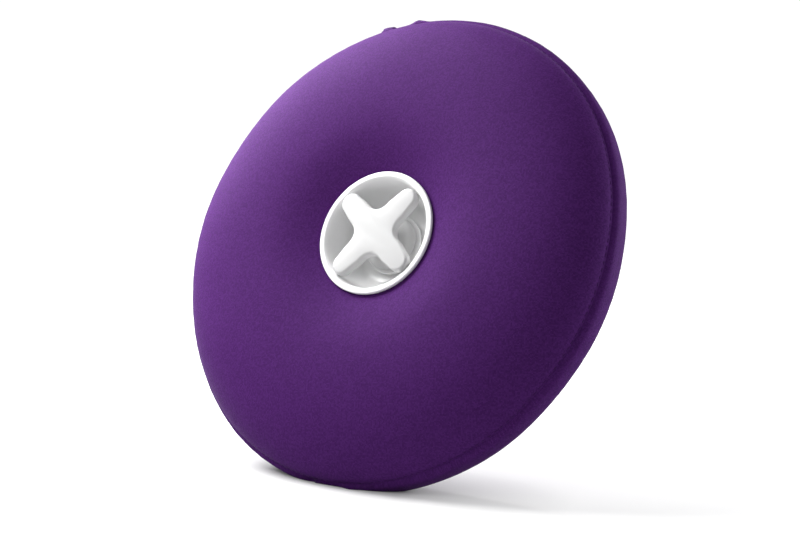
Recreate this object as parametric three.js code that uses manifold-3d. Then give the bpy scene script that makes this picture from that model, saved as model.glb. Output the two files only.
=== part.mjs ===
// Round water cushion: a welded bladder in a knitted cover, with a filler funnel let into the
// middle of its front and closed by a four-armed screw stopper.
//
// Millimetres. +Z is the cushion's own axis, out of the front face. The cushion lies on its back,
// and the origin is the centre of that flat back. The arms of the stopper lie on the diagonals of
// X and Y, and the opening in the back of the cover runs along Y.

import * as THREE from 'three';
import { mergeVertices } from 'three/addons/utils/BufferGeometryUtils.js';
import Module from 'manifold-3d';

const wasm = await Module();
wasm.setup();

// ---- Driving dimensions -------------------------------------------------------------------

const GAP = 0.35;                 // between pieces that touch
const LARGE_SIDES = 40;           // facets round the cover and the bladder
const SMALL_SIDES = 32;           // facets round the funnel, the neck and the stopper

const RIM_RADIUS = 150;           // widest part of the cushion
const RIM_Z = 21;                 // height of the widest part
const SEAM_RADIUS = 147;          // stitched line between the front panel and the back
const SEAM_Z = 25;
const CROWN_RADIUS = 78.5;        // circle of the highest part of the front
const CROWN_Z = 49.8;
const HOLE_RADIUS = 38.4;         // hole in the cover for the funnel
const HOLE_Z = 39.2;
const HOLE_BINDING_THICKNESS = 0.8;
const HOLE_BINDING_HEIGHT = 1.4;
const LOWER_RIM_RADIUS = 149;     // on the way down from the widest part
const LOWER_RIM_Z = 12;
const SHOULDER_RADIUS = 143;      // where the rim turns into the back
const SHOULDER_Z = 4.2;
const FLAT_RADIUS = 126;          // edge of the flat back

const FABRIC = 1.0;               // knitted fabric
const SHEET = 2.0;                // wall of the bladder
const WELD_RADIUS = 144.4;        // welded flange round the bladder
const WELD_WIDTH = 5;
const WELD_THICKNESS = 1.6;

const OUTER_FLAP_EDGE = -28.6;    // X of the edge of the flap that lies outside
const INNER_FLAP_EDGE = -1.0;     // X of the edge of the flap tucked under it
const STEP_WIDTH = 2.2;           // how far the tucked flap takes to step inwards
const JOIN_OVERLAP = 0.1;         // between solids that are joined into one
const BINDING_WIDTH = 4;          // tape folded over the edge of each flap
const BINDING_HALF_LENGTH = 116;

const LIP_RADIUS = 39.2;
const LIP_Z = 43.2;
const LIP_THICKNESS = 2.4;
const BOWL_RADIUS = 35.2;         // inside of the bowl just below the lip
const BOWL_FLOOR_RADIUS = 22.5;
const BOWL_FLOOR_Z = 17.8;
const BOWL_WALL = 1.5;
const MOUTH_RING_WIDTH = 4;       // ring that clamps the bladder's mouth to the funnel
const MOUTH_RING_HEIGHT = 3.2;
const MOUTH_RING_SLOPE = 0.8;     // fall of its top towards the funnel
const NECK_HOLE_RADIUS = 16.4;    // hole in the floor of the bowl

const SOCKET_RADIUS = 15.9;       // outside of the threaded socket
const SOCKET_BOTTOM_Z = 10.5;
const COLLAR_RADIUS = 19;
const COLLAR_BOTTOM_Z = 19.2;
const COLLAR_TOP_Z = 21.0;
const BORE_RADIUS = 13.2;
const CHAMFER = 0.5;              // on the edges of the collar and the plug
const NUT_WALL = 5;
const NUT_HEIGHT = 4;

const PITCH = 5;                  // lift of the stopper in one turn, right-handed
const THREAD_SIDES = 24;
const FEMALE_TURNS = 1.55;
const MALE_TURNS = 1.2;
const FEMALE_THREAD_Z = 11.5;
const FEMALE_CREST_RADIUS = 11.8;
const MALE_CREST_RADIUS = 12.8;
const RIDGE_ROOT_HALF_WIDTH = 0.95;
const RIDGE_CREST_HALF_WIDTH = 0.55;
const RIDGE_EMBEDDING = 0.6;      // how far a ridge's root lies inside the piece that carries it
const PLUG_RADIUS = 11.3;
const PLUG_BOTTOM_Z = 11.2;
const PLUG_BORE_RADIUS = 7.6;
const PLUG_BORE_TOP_Z = 21.5;

const HUB_RADIUS = 17.2;
const HUB_BOTTOM_Z = 23.0;
const HUB_EDGE_Z = 23.8;          // where the dome begins
const HUB_TOP_Z = 31.0;
const HUB_TOP_RADIUS = 9.5;
const WASHER_RADIUS = 15.2;
const WASHER_BOTTOM_Z = COLLAR_TOP_Z + GAP;
const WASHER_TOP_Z = HUB_BOTTOM_Z - GAP;

const GRIP_TOP_Z = 44.5;
const GRIP_THICKNESS = 6;
const ARM_REACH = 34.2;           // from the axis to the tip of an arm
const ARM_TIP_RADIUS = 6.6;
const ARM_ROOT_HALF_WIDTH = 7.8;
const ARM_ROOT_REACH = 19;        // where the fillet between two arms begins
const GRIP_BEVEL = 1.1;
const ARM_CURVE_STEPS = 6;
const STEM_RADIUS = 8.5;
const STEM_FLARE = 1;
const SPIGOT_RADIUS = 5;
const SPIGOT_BOTTOM_Z = 25;

// ---- Materials ----------------------------------------------------------------------------

const knit = () => new THREE.MeshStandardMaterial({ color: 0x5b2d7d, roughness: 0.9, metalness: 0 });
const tape = () => new THREE.MeshStandardMaterial({ color: 0x4a2368, roughness: 0.95, metalness: 0 });
const film = () => new THREE.MeshStandardMaterial({ color: 0xcfc4dc, roughness: 0.5, metalness: 0 });
const gloss = () => new THREE.MeshStandardMaterial({ color: 0xf4f4f2, roughness: 0.25, metalness: 0 });
const satin = () => new THREE.MeshStandardMaterial({ color: 0xececea, roughness: 0.45, metalness: 0 });
const seal = () => new THREE.MeshStandardMaterial({ color: 0x9a9a98, roughness: 0.8, metalness: 0 });

// ---- Solids -------------------------------------------------------------------------------

const MERGE_DISTANCE = 1e-4;

// A closed three.js geometry as a manifold solid, turned the right way out.
function solidOf(geometry) {
  const bare = geometry.clone();
  bare.deleteAttribute('normal');
  bare.deleteAttribute('uv');
  const merged = mergeVertices(bare, MERGE_DISTANCE);
  const index = merged.index.array;
  const corners = [];
  for (let i = 0; i < index.length; i += 3) {
    const [a, b, c] = [index[i], index[i + 1], index[i + 2]];
    if (a !== b && b !== c && c !== a) corners.push(a, b, c);
  }
  if (signedVolume(merged.attributes.position, corners) < 0) corners.reverse();
  return new wasm.Manifold(new wasm.Mesh({
    numProp: 3,
    vertProperties: new Float32Array(merged.attributes.position.array),
    triVerts: new Uint32Array(corners),
  }));
}

function signedVolume(position, corners) {
  const [p, q, r] = [new THREE.Vector3(), new THREE.Vector3(), new THREE.Vector3()];
  let sum = 0;
  for (let i = 0; i < corners.length; i += 3) {
    p.fromBufferAttribute(position, corners[i]);
    q.fromBufferAttribute(position, corners[i + 1]);
    r.fromBufferAttribute(position, corners[i + 2]);
    sum += p.dot(q.cross(r));
  }
  return sum / 6;
}

// A profile of [radius, z] points turned about Z. A profile that doesn't start and end on the
// axis is closed on itself.
function turned(profile, sides) {
  const points = profile.map(([radius, z]) => new THREE.Vector2(radius, z));
  const onAxis = profile[0][0] === 0 && profile[profile.length - 1][0] === 0;
  if (!onAxis) points.push(points[0].clone());
  const geometry = new THREE.LatheGeometry(points, sides);
  geometry.rotateX(Math.PI / 2);
  return solidOf(geometry);
}

// A ring with a rectangular section.
function ring(innerRadius, outerRadius, bottomZ, topZ, sides) {
  return turned(
    [[innerRadius, bottomZ], [outerRadius, bottomZ], [outerRadius, topZ], [innerRadius, topZ]],
    sides,
  );
}

// A block between two corners.
function block(low, high) {
  const size = high.map((value, axis) => value - low[axis]);
  const middle = high.map((value, axis) => (value + low[axis]) / 2);
  const geometry = new THREE.BoxGeometry(...size);
  geometry.translate(...middle);
  return solidOf(geometry);
}

// A profile moved to its right-hand side by a distance, square to each of its points. A profile
// that runs outwards over the front and back under the cushion is moved into the cushion.
function insideOf(profile, distance) {
  const last = profile.length - 1;
  return profile.map(([radius, z], i) => {
    const before = profile[Math.max(i - 1, 0)];
    const after = profile[Math.min(i + 1, last)];
    const along = new THREE.Vector2(after[0] - before[0], after[1] - before[1]).normalize();
    return [Math.max(radius + along.y * distance, 0), z - along.x * distance];
  });
}

// A sheet whose outer face lies a depth below a profile.
function sheetUnder(profile, depth, thickness, sides) {
  const outer = insideOf(profile, depth);
  const inner = insideOf(profile, depth + thickness);
  return turned([...outer, ...inner.reverse()], sides);
}

// ---- Outlines of the cushion --------------------------------------------------------------

const FRONT_STEPS = 7;            // points on the convex front, crown to seam
const DIP_STEPS = 4;              // points on the slope from the funnel up to the crown
const RIM_STEPS = 7;              // points round the rim, seam to flat back
const FRONT_ROUNDNESS = 2.2;      // 2 is an ellipse; more is fuller towards the seam

// From the funnel's hole over the crown to the seam.
function frontOutline() {
  const points = [];
  for (let i = 0; i < DIP_STEPS; i += 1) {
    const part = i / DIP_STEPS;
    const rise = Math.sin(part * Math.PI / 2);
    points.push([
      HOLE_RADIUS + part * (CROWN_RADIUS - HOLE_RADIUS),
      HOLE_Z + rise * (CROWN_Z - HOLE_Z),
    ]);
  }
  for (let i = 0; i <= FRONT_STEPS; i += 1) {
    const reach = Math.sin(i / FRONT_STEPS * Math.PI / 2);
    const fall = Math.sqrt(1 - reach ** FRONT_ROUNDNESS);
    points.push([
      CROWN_RADIUS + reach * (SEAM_RADIUS - CROWN_RADIUS),
      SEAM_Z + fall * (CROWN_Z - SEAM_Z),
    ]);
  }
  return points;
}

// From the seam round the rim and in under the cushion to its axis.
function backOutline() {
  const rim = new THREE.SplineCurve([
    new THREE.Vector2(SEAM_RADIUS, SEAM_Z - GAP),
    new THREE.Vector2(RIM_RADIUS, RIM_Z),
    new THREE.Vector2(LOWER_RIM_RADIUS, LOWER_RIM_Z),
    new THREE.Vector2(SHOULDER_RADIUS, SHOULDER_Z),
    new THREE.Vector2(FLAT_RADIUS, 0),
  ]);
  const points = rim.getPoints(RIM_STEPS).map((point) => [point.x, Math.max(point.y, 0)]);
  return [...points, [FLAT_RADIUS / 2, 0], [0, 0]];
}

const front = frontOutline();
const back = backOutline();

// ---- Cover --------------------------------------------------------------------------------

function coverFrontPanel() {
  return sheetUnder(front, 0, FABRIC, LARGE_SIDES);
}

// Tape sewn round the edge of the hole, between the fabric and the funnel.
function fillerHoleBinding() {
  const outerRadius = HOLE_RADIUS - GAP;
  const bottomZ = HOLE_Z - FABRIC;
  return ring(
    outerRadius - HOLE_BINDING_THICKNESS, outerRadius, bottomZ, bottomZ + HOLE_BINDING_HEIGHT,
    SMALL_SIDES,
  );
}

// The back is two flaps. Each is a dish of fabric cut off along a line parallel to Y.
const FAR = RIM_RADIUS + 10;
const ABOVE = SEAM_Z + 10;
const TUCK_DEPTH = FABRIC + GAP;
const BINDING_CLEARANCE_Z = TUCK_DEPTH + FABRIC + GAP;

function dishPart(depth, thickness, fromX, toX) {
  const dish = sheetUnder(back, depth, thickness, LARGE_SIDES);
  return dish.intersect(block([fromX, -FAR, -1], [toX, FAR, ABOVE]));
}

function coverBackOuterFlap() {
  return withoutBinding(dishPart(0, FABRIC, OUTER_FLAP_EDGE, FAR), OUTER_FLAP_EDGE);
}

// Level with the outer flap where it can be, and one layer further in where it is tucked under.
function coverBackInnerFlap() {
  const stepEnd = OUTER_FLAP_EDGE - GAP;
  const stepStart = stepEnd - STEP_WIDTH;
  const open = dishPart(0, FABRIC, -FAR, stepStart + JOIN_OVERLAP);
  const step = dishPart(0, TUCK_DEPTH + FABRIC, stepStart, stepEnd);
  const tucked = dishPart(TUCK_DEPTH, FABRIC, stepEnd - JOIN_OVERLAP, INNER_FLAP_EDGE);
  return withoutBinding(open.add(step).add(tucked), INNER_FLAP_EDGE - BINDING_WIDTH);
}

// The strip of tape that forms the edge of a flap where the back is flat.
function flapBinding(fromX, bottomZ) {
  return block(
    [fromX, -BINDING_HALF_LENGTH, bottomZ],
    [fromX + BINDING_WIDTH, BINDING_HALF_LENGTH, bottomZ + FABRIC],
  );
}

// A flap without the strip that its binding takes up.
function withoutBinding(flap, fromX) {
  return flap.subtract(block(
    [fromX - GAP, -BINDING_HALF_LENGTH - GAP, -1],
    [fromX + BINDING_WIDTH + GAP, BINDING_HALF_LENGTH + GAP, BINDING_CLEARANCE_Z],
  ));
}

// ---- Bladder ------------------------------------------------------------------------------

const COVER_DEPTH = FABRIC + GAP;
const BACK_DEPTH = 2 * (FABRIC + GAP);               // two flaps
const WELD_Z = SEAM_Z - 2.4;                         // plane of the weld
const WELD_RISE = 1;                                 // of the front flange over the seam

// The wall runs in past the cover's hole to the funnel, and ends at the rim in a flange that
// reaches down to the plane of the weld.
function bladderFrontShell() {
  const mouth = [BOWL_RADIUS + BOWL_WALL + GAP / 2, HOLE_Z - GAP];
  const sheet = sheetUnder([mouth, ...front], COVER_DEPTH, SHEET, LARGE_SIDES);
  const flange = ring(
    WELD_RADIUS - WELD_WIDTH, WELD_RADIUS, WELD_Z + GAP / 2, SEAM_Z + WELD_RISE, LARGE_SIDES,
  );
  return sheet.add(flange);
}

function bladderBackShell() {
  const sheet = sheetUnder(back, BACK_DEPTH, SHEET, LARGE_SIDES);
  const topZ = WELD_Z - GAP / 2;
  const flange = ring(
    WELD_RADIUS - WELD_WIDTH, WELD_RADIUS + SHEET / 2, topZ - WELD_THICKNESS, topZ, LARGE_SIDES,
  );
  const belowWeld = block([-FAR, -FAR, 0], [FAR, FAR, topZ]);
  return sheet.add(flange).intersect(belowWeld);
}

// ---- Filler -------------------------------------------------------------------------------

const BOWL_STEPS = 5;
const LIP_STEPS = 4;
const BOWL_STEEPNESS = 0.7;       // below 1 the wall is steeper than an ellipse's
const BOWL_FULLNESS = 0.9;
const BOWL_TOP_Z = LIP_Z - 2;     // where the wall turns into the lip

// The wall of the bowl, floor to lip: a quarter of a superellipse, moved outwards by an offset.
function bowlWall(offset) {
  const reach = BOWL_RADIUS - BOWL_FLOOR_RADIUS;
  const height = BOWL_TOP_Z - BOWL_FLOOR_Z + offset;
  const points = [];
  for (let i = 0; i <= BOWL_STEPS; i += 1) {
    const angle = i / BOWL_STEPS * Math.PI / 2;
    points.push([
      BOWL_FLOOR_RADIUS + offset + reach * Math.sin(angle) ** BOWL_STEEPNESS,
      BOWL_FLOOR_Z - offset + height * (1 - Math.cos(angle) ** BOWL_FULLNESS),
    ]);
  }
  return points;
}

// The round outer edge of the lip, top to underside: half a circle.
function lipRoll() {
  const rollRadius = LIP_THICKNESS / 2;
  const points = [];
  for (let i = 0; i <= LIP_STEPS; i += 1) {
    const angle = Math.PI / 2 - i / LIP_STEPS * Math.PI;
    points.push([
      LIP_RADIUS - rollRadius + rollRadius * Math.cos(angle),
      LIP_Z - rollRadius + rollRadius * Math.sin(angle),
    ]);
  }
  return points;
}

function fillerFunnel() {
  const inside = bowlWall(0);
  const outside = bowlWall(BOWL_WALL).slice(0, -1).reverse();
  return turned([
    [NECK_HOLE_RADIUS, BOWL_FLOOR_Z],
    ...inside,
    [BOWL_RADIUS + BOWL_WALL, LIP_Z],
    ...lipRoll(),
    [BOWL_RADIUS + BOWL_WALL, LIP_Z - LIP_THICKNESS],
    ...outside,
    [NECK_HOLE_RADIUS, BOWL_FLOOR_Z - BOWL_WALL],
  ], SMALL_SIDES);
}

// Clamps the edge of the bladder's mouth to the outside of the funnel, from inside.
function bladderMouthRing() {
  const innerRadius = BOWL_RADIUS + BOWL_WALL + GAP;
  const outerRadius = innerRadius + MOUTH_RING_WIDTH;
  const topZ = HOLE_Z - COVER_DEPTH - SHEET - 2 * GAP;
  const bottomZ = topZ - MOUTH_RING_HEIGHT;
  return turned([
    [innerRadius, bottomZ],
    [outerRadius, bottomZ],
    [outerRadius, topZ],
    [innerRadius, topZ - MOUTH_RING_SLOPE],
  ], SMALL_SIDES);
}

function neckGasket() {
  return ring(
    NECK_HOLE_RADIUS, COLLAR_RADIUS - GAP, BOWL_FLOOR_Z + GAP, COLLAR_BOTTOM_Z - GAP, SMALL_SIDES,
  );
}

function neckRingNut() {
  const topZ = BOWL_FLOOR_Z - BOWL_WALL - GAP;
  const innerRadius = SOCKET_RADIUS + GAP;
  return ring(innerRadius, innerRadius + NUT_WALL, topZ - NUT_HEIGHT, topZ, SMALL_SIDES);
}

// ---- Thread -------------------------------------------------------------------------------

// A ridge of trapezoid section that climbs round Z from a starting height, closed at both ends.
// It runs from a root radius, inside the piece it belongs to, to a crest radius.
function helicalRidge(rootRadius, crestRadius, startZ, turns) {
  const section = [
    [rootRadius, -RIDGE_ROOT_HALF_WIDTH],
    [crestRadius, -RIDGE_CREST_HALF_WIDTH],
    [crestRadius, RIDGE_CREST_HALF_WIDTH],
    [rootRadius, RIDGE_ROOT_HALF_WIDTH],
  ];
  const steps = Math.round(turns * THREAD_SIDES);
  const positions = [];
  const index = [];
  for (let i = 0; i <= steps; i += 1) {
    const angle = i / THREAD_SIDES * 2 * Math.PI;
    const climb = startZ + i / THREAD_SIDES * PITCH;
    for (const [radius, z] of section) {
      positions.push(radius * Math.cos(angle), radius * Math.sin(angle), climb + z);
    }
  }
  for (let i = 0; i < steps; i += 1) {
    for (let j = 0; j < 4; j += 1) {
      const a = 4 * i + j;
      const b = 4 * i + (j + 1) % 4;
      index.push(a, b, a + 4, b, b + 4, a + 4);
    }
  }
  const end = 4 * steps;
  index.push(0, 2, 1, 0, 3, 2);
  index.push(end, end + 1, end + 2, end, end + 2, end + 3);
  const geometry = new THREE.BufferGeometry();
  geometry.setAttribute('position', new THREE.Float32BufferAttribute(positions, 3));
  geometry.setIndex(index);
  return solidOf(geometry);
}

function neckSocket() {
  const body = turned([
    [BORE_RADIUS, SOCKET_BOTTOM_Z],
    [SOCKET_RADIUS, SOCKET_BOTTOM_Z],
    [SOCKET_RADIUS, COLLAR_BOTTOM_Z],
    [COLLAR_RADIUS, COLLAR_BOTTOM_Z],
    [COLLAR_RADIUS, COLLAR_TOP_Z - CHAMFER],
    [COLLAR_RADIUS - CHAMFER, COLLAR_TOP_Z],
    [BORE_RADIUS + CHAMFER, COLLAR_TOP_Z],
    [BORE_RADIUS, COLLAR_TOP_Z - CHAMFER],
  ], SMALL_SIDES);
  const rootRadius = BORE_RADIUS + RIDGE_EMBEDDING;
  return body.add(helicalRidge(rootRadius, FEMALE_CREST_RADIUS, FEMALE_THREAD_Z, FEMALE_TURNS));
}

// ---- Stopper ------------------------------------------------------------------------------

const DOME_STEPS = 4;

// From the edge of the hub up to its flat top: a quarter of an ellipse.
function hubDome() {
  const points = [];
  for (let i = 0; i <= DOME_STEPS; i += 1) {
    const angle = i / DOME_STEPS * Math.PI / 2;
    points.push([
      HUB_TOP_RADIUS + (HUB_RADIUS - HUB_TOP_RADIUS) * Math.cos(angle),
      HUB_EDGE_Z + (HUB_TOP_Z - HUB_EDGE_Z) * Math.sin(angle),
    ]);
  }
  return points;
}

// Half a pitch above the socket's ridge, so that one ridge lies midway in the other's groove.
function stopperPlug() {
  const spigotHole = SPIGOT_RADIUS + GAP;
  const body = turned([
    [PLUG_BORE_RADIUS, PLUG_BOTTOM_Z],
    [PLUG_RADIUS - CHAMFER, PLUG_BOTTOM_Z],
    [PLUG_RADIUS, PLUG_BOTTOM_Z + CHAMFER],
    [PLUG_RADIUS, HUB_BOTTOM_Z],
    [HUB_RADIUS - CHAMFER, HUB_BOTTOM_Z],
    ...hubDome(),
    [spigotHole, HUB_TOP_Z],
    [spigotHole, SPIGOT_BOTTOM_Z - GAP],
    [0, SPIGOT_BOTTOM_Z - GAP],
    [0, PLUG_BORE_TOP_Z],
    [PLUG_BORE_RADIUS, PLUG_BORE_TOP_Z],
  ], SMALL_SIDES);
  const startZ = FEMALE_THREAD_Z + PITCH / 2;
  const rootRadius = PLUG_RADIUS - RIDGE_EMBEDDING;
  return body.add(helicalRidge(rootRadius, MALE_CREST_RADIUS, startZ, MALE_TURNS));
}

function stopperWasher() {
  return ring(PLUG_RADIUS + GAP, WASHER_RADIUS, WASHER_BOTTOM_Z, WASHER_TOP_Z, SMALL_SIDES);
}

// The outline of the X: four tapered arms with round tips, and a curve in each corner.
function crossOutline() {
  const shape = new THREE.Shape();
  const axis = new THREE.Vector2();
  const tipCentre = ARM_REACH - GRIP_BEVEL - ARM_TIP_RADIUS;
  const rootHalfWidth = ARM_ROOT_HALF_WIDTH - GRIP_BEVEL;
  const tipRadius = ARM_TIP_RADIUS - GRIP_BEVEL;
  for (let arm = 0; arm < 4; arm += 1) {
    const heading = Math.PI / 4 + arm * Math.PI / 2;
    const place = (reach, side) => new THREE.Vector2(reach, side).rotateAround(axis, heading);
    const rightRoot = place(ARM_ROOT_REACH, -rootHalfWidth);
    const leftRoot = place(ARM_ROOT_REACH, rootHalfWidth);
    const centre = place(tipCentre, 0);
    if (arm === 0) shape.moveTo(rightRoot.x, rightRoot.y);
    shape.absarc(centre.x, centre.y, tipRadius, heading - Math.PI / 2, heading + Math.PI / 2);
    shape.lineTo(leftRoot.x, leftRoot.y);
    const nextRoot = rightRoot.clone().rotateAround(axis, Math.PI / 2);
    const corner = place(rootHalfWidth, rootHalfWidth);
    shape.quadraticCurveTo(corner.x, corner.y, nextRoot.x, nextRoot.y);
  }
  return shape;
}

function stopperGrip() {
  const plate = new THREE.ExtrudeGeometry(crossOutline(), {
    depth: GRIP_THICKNESS - 2 * GRIP_BEVEL,
    curveSegments: ARM_CURVE_STEPS,
    bevelThickness: GRIP_BEVEL,
    bevelSize: GRIP_BEVEL,
    bevelSegments: 2,
  });
  plate.translate(0, 0, GRIP_TOP_Z - GRIP_THICKNESS + GRIP_BEVEL);
  const stemTopZ = GRIP_TOP_Z - GRIP_THICKNESS + GRIP_BEVEL;
  const stem = turned([
    [0, SPIGOT_BOTTOM_Z],
    [SPIGOT_RADIUS, SPIGOT_BOTTOM_Z],
    [SPIGOT_RADIUS, HUB_TOP_Z + GAP],
    [STEM_RADIUS, HUB_TOP_Z + GAP],
    [STEM_RADIUS + STEM_FLARE, stemTopZ],
    [0, stemTopZ],
  ], SMALL_SIDES);
  return solidOf(plate).add(stem);
}

// ---- Assembly -----------------------------------------------------------------------------

function mesh(name, solid, material) {
  const { vertProperties, triVerts } = solid.getMesh();
  const geometry = new THREE.BufferGeometry();
  geometry.setAttribute('position', new THREE.Float32BufferAttribute(vertProperties, 3));
  geometry.setIndex(new THREE.Uint32BufferAttribute(triVerts, 1));
  geometry.computeVertexNormals();
  const piece = new THREE.Mesh(geometry, material);
  piece.name = name;
  return piece;
}

const innerBindingX = INNER_FLAP_EDGE - BINDING_WIDTH;

const cover = new THREE.Group();
cover.add(
  mesh('cover_front_panel', coverFrontPanel(), knit()),
  mesh('filler_hole_binding', fillerHoleBinding(), tape()),
  mesh('cover_back_outer_flap', coverBackOuterFlap(), knit()),
  mesh('cover_back_inner_flap', coverBackInnerFlap(), knit()),
  mesh('outer_flap_binding', flapBinding(OUTER_FLAP_EDGE, 0), tape()),
  mesh('inner_flap_binding', flapBinding(innerBindingX, TUCK_DEPTH), tape()),
);

const bladder = new THREE.Group();
bladder.add(
  mesh('bladder_front_shell', bladderFrontShell(), film()),
  mesh('bladder_back_shell', bladderBackShell(), film()),
  mesh('bladder_mouth_ring', bladderMouthRing(), satin()),
);

const filler = new THREE.Group();
filler.add(
  mesh('filler_funnel', fillerFunnel(), gloss()),
  mesh('neck_gasket', neckGasket(), seal()),
  mesh('neck_socket', neckSocket(), gloss()),
  mesh('neck_ring_nut', neckRingNut(), satin()),
);

const stopper = new THREE.Group();
stopper.add(
  mesh('stopper_washer', stopperWasher(), seal()),
  mesh('stopper_plug', stopperPlug(), satin()),
  mesh('stopper_grip', stopperGrip(), satin()),
);

const group = new THREE.Group();
group.add(cover, bladder, filler, stopper);

export default group;
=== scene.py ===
# %% [markdown]
# # A round water cushion with a screw stopper
#
# The object is a bladder of soft sheet in a purple knitted cover. A white filler funnel is let into
# the middle of its front, and a stopper with four arms is screwed into the funnel. This script
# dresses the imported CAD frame: the frame says where everything is, and each step here makes one
# piece or one finish. Everything is in metres, and the cushion lies on its back with its axis on Z.

# %% Load the frame
import math
from contextlib import contextmanager

import bmesh
import bpy
import numpy as np
from mathutils import Matrix, Vector, noise


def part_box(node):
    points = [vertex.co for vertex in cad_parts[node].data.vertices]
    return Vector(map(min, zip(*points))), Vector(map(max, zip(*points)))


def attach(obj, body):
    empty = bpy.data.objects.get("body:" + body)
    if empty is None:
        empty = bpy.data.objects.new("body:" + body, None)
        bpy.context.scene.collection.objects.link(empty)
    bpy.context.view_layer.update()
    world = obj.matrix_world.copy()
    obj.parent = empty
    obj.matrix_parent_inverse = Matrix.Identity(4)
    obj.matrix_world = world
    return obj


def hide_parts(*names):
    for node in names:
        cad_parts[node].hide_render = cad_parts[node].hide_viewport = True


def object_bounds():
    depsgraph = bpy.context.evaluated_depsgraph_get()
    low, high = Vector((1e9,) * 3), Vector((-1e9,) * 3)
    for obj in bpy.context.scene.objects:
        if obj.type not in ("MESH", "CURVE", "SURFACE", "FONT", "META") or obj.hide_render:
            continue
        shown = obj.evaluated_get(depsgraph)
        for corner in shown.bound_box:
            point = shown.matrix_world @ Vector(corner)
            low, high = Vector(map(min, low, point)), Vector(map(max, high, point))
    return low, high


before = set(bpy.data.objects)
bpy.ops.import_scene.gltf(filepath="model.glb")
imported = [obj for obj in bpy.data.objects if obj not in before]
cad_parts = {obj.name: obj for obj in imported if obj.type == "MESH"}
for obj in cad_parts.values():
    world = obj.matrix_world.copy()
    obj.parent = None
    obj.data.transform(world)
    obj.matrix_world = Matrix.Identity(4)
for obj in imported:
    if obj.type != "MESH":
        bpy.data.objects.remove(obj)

cad_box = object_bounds()
MM = 0.001
print("CAD box", [round(v, 4) for corner in cad_box for v in corner])

# %% [markdown]
# ## Sizes from the frame
#
# The CAD nodes are the reference for every size. Reading their boxes once, under plain names, keeps
# the later cells free of bare numbers and makes the visual pieces follow the frame.

# %% Measure the CAD nodes
front_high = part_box("cover_front_panel")[1]
funnel_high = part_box("filler_funnel")[1]
socket_low, socket_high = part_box("neck_socket")
plug_low, plug_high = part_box("stopper_plug")
washer_low, washer_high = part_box("stopper_washer")
grip_low, grip_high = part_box("stopper_grip")

RIM_RADIUS = cad_box[1].x
SEAM_RADIUS = front_high.x
CROWN_Z = front_high.z
LIP_RADIUS = funnel_high.x
LIP_Z = funnel_high.z
COLLAR_RADIUS = socket_high.x
COLLAR_Z = socket_high.z
HUB_RADIUS = plug_high.x
GRIP_Z = grip_high.z

SEAM_Z = 24.9 * MM
CROWN_RADIUS = 78.5 * MM
RIM_MIDDLE_Z = 20 * MM
print(f"rim {RIM_RADIUS:.4f}  seam {SEAM_RADIUS:.4f}  lip {LIP_RADIUS:.4f}  grip top {GRIP_Z:.4f}")

# %% [markdown]
# ## Camera
#
# The camera looks at the front of the cushion from one side, turned about its own line of sight, so
# that the cushion seems to stand on its rim and lean back. Three angles and a distance say this
# better than a matrix would: where the camera stands round the cushion, how high it is over the
# plane of the cushion, and how far it is rolled.

# %% Place the camera
VIEW_AZIMUTH = math.radians(-30.5)
VIEW_ELEVATION = math.radians(52.6)
VIEW_ROLL = math.radians(-56.8)
VIEW_DISTANCE = 1.002
AIM_RIGHT, AIM_UP = 3.6 * MM, -17.6 * MM
FOCAL_LENGTH, VIEW_END = 74.0, 20

middle = Vector((0, 0, RIM_MIDDLE_Z))
view_back = Vector((
    math.cos(VIEW_ELEVATION) * math.cos(VIEW_AZIMUTH),
    math.cos(VIEW_ELEVATION) * math.sin(VIEW_AZIMUTH),
    math.sin(VIEW_ELEVATION),
))
level = view_back.to_track_quat("Z", "Y").to_matrix()
view_axes = level @ Matrix.Rotation(VIEW_ROLL, 3, "Z")
view_right, view_up = view_axes.col[0].copy(), view_axes.col[1].copy()


def from_view(right, up, back):
    """A direction given as the camera sees it: to the right, upwards and towards the camera."""
    return view_right * right + view_up * up + view_back * back


camera = bpy.data.objects.new("camera", bpy.data.cameras.new("camera"))
bpy.context.scene.collection.objects.link(camera)
bpy.context.scene.camera = camera
camera.data.lens = FOCAL_LENGTH
camera.data.clip_end = VIEW_END
place = middle + from_view(AIM_RIGHT, AIM_UP, VIEW_DISTANCE)
camera.matrix_world = Matrix.Translation(place) @ view_axes.to_4x4()
print("camera at", [round(v, 3) for v in place])

# %% [markdown]
# ## Floor and light
#
# The floor is a pale sheet that touches the cushion's rim from below as the camera sees it. It is
# transparent from behind, so that it never hides the cushion from another side. One soft key light
# stands close by at the upper left, low over the face of the cushion: it grazes the dome, so the
# slope behind the funnel falls into shadow and the slope in front of it lights up. A light from the
# right picks out the rim beyond the seam, and a dim fill keeps the dark side readable.

# %% Helpers for nodes
def add_node(tree, kind, values=(), **settings):
    """A node with its own settings, and some of its inputs set by name or number."""
    node = tree.nodes.new(kind)
    for setting, value in settings.items():
        setattr(node, setting, value)
    for socket, value in dict(values).items():
        node.inputs[socket].default_value = value
    return node


def wire(tree, *wires):
    """Links in a tree, each given as a node, its output, another node and its input."""
    for source, source_socket, target, target_socket in wires:
        tree.links.new(source.outputs[source_socket], target.inputs[target_socket])


def node_material(name):
    """A new material: the material, its empty tree and its output node."""
    material = bpy.data.materials.new(name)
    material.use_nodes = True
    material.node_tree.nodes.clear()
    return material, material.node_tree, add_node(material.node_tree, "ShaderNodeOutputMaterial")


# %% Make the floor
CAMERA_PITCH = math.radians(7)
FLOOR_SIZE = 12.0
FLOOR_WHITE, FLOOR_MOTTLE, FLOOR_GRAIN = 0.55, 0.01, 40
FLOOR_TOUCH = 0.5 * MM
GLOW_NEAR, GLOW_FAR = 0.50, 1.0
GLOW_START, GLOW_END = 0.25, 0.9
PAINTED_CONTACT_SHADE_REACH = 0.05


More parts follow.
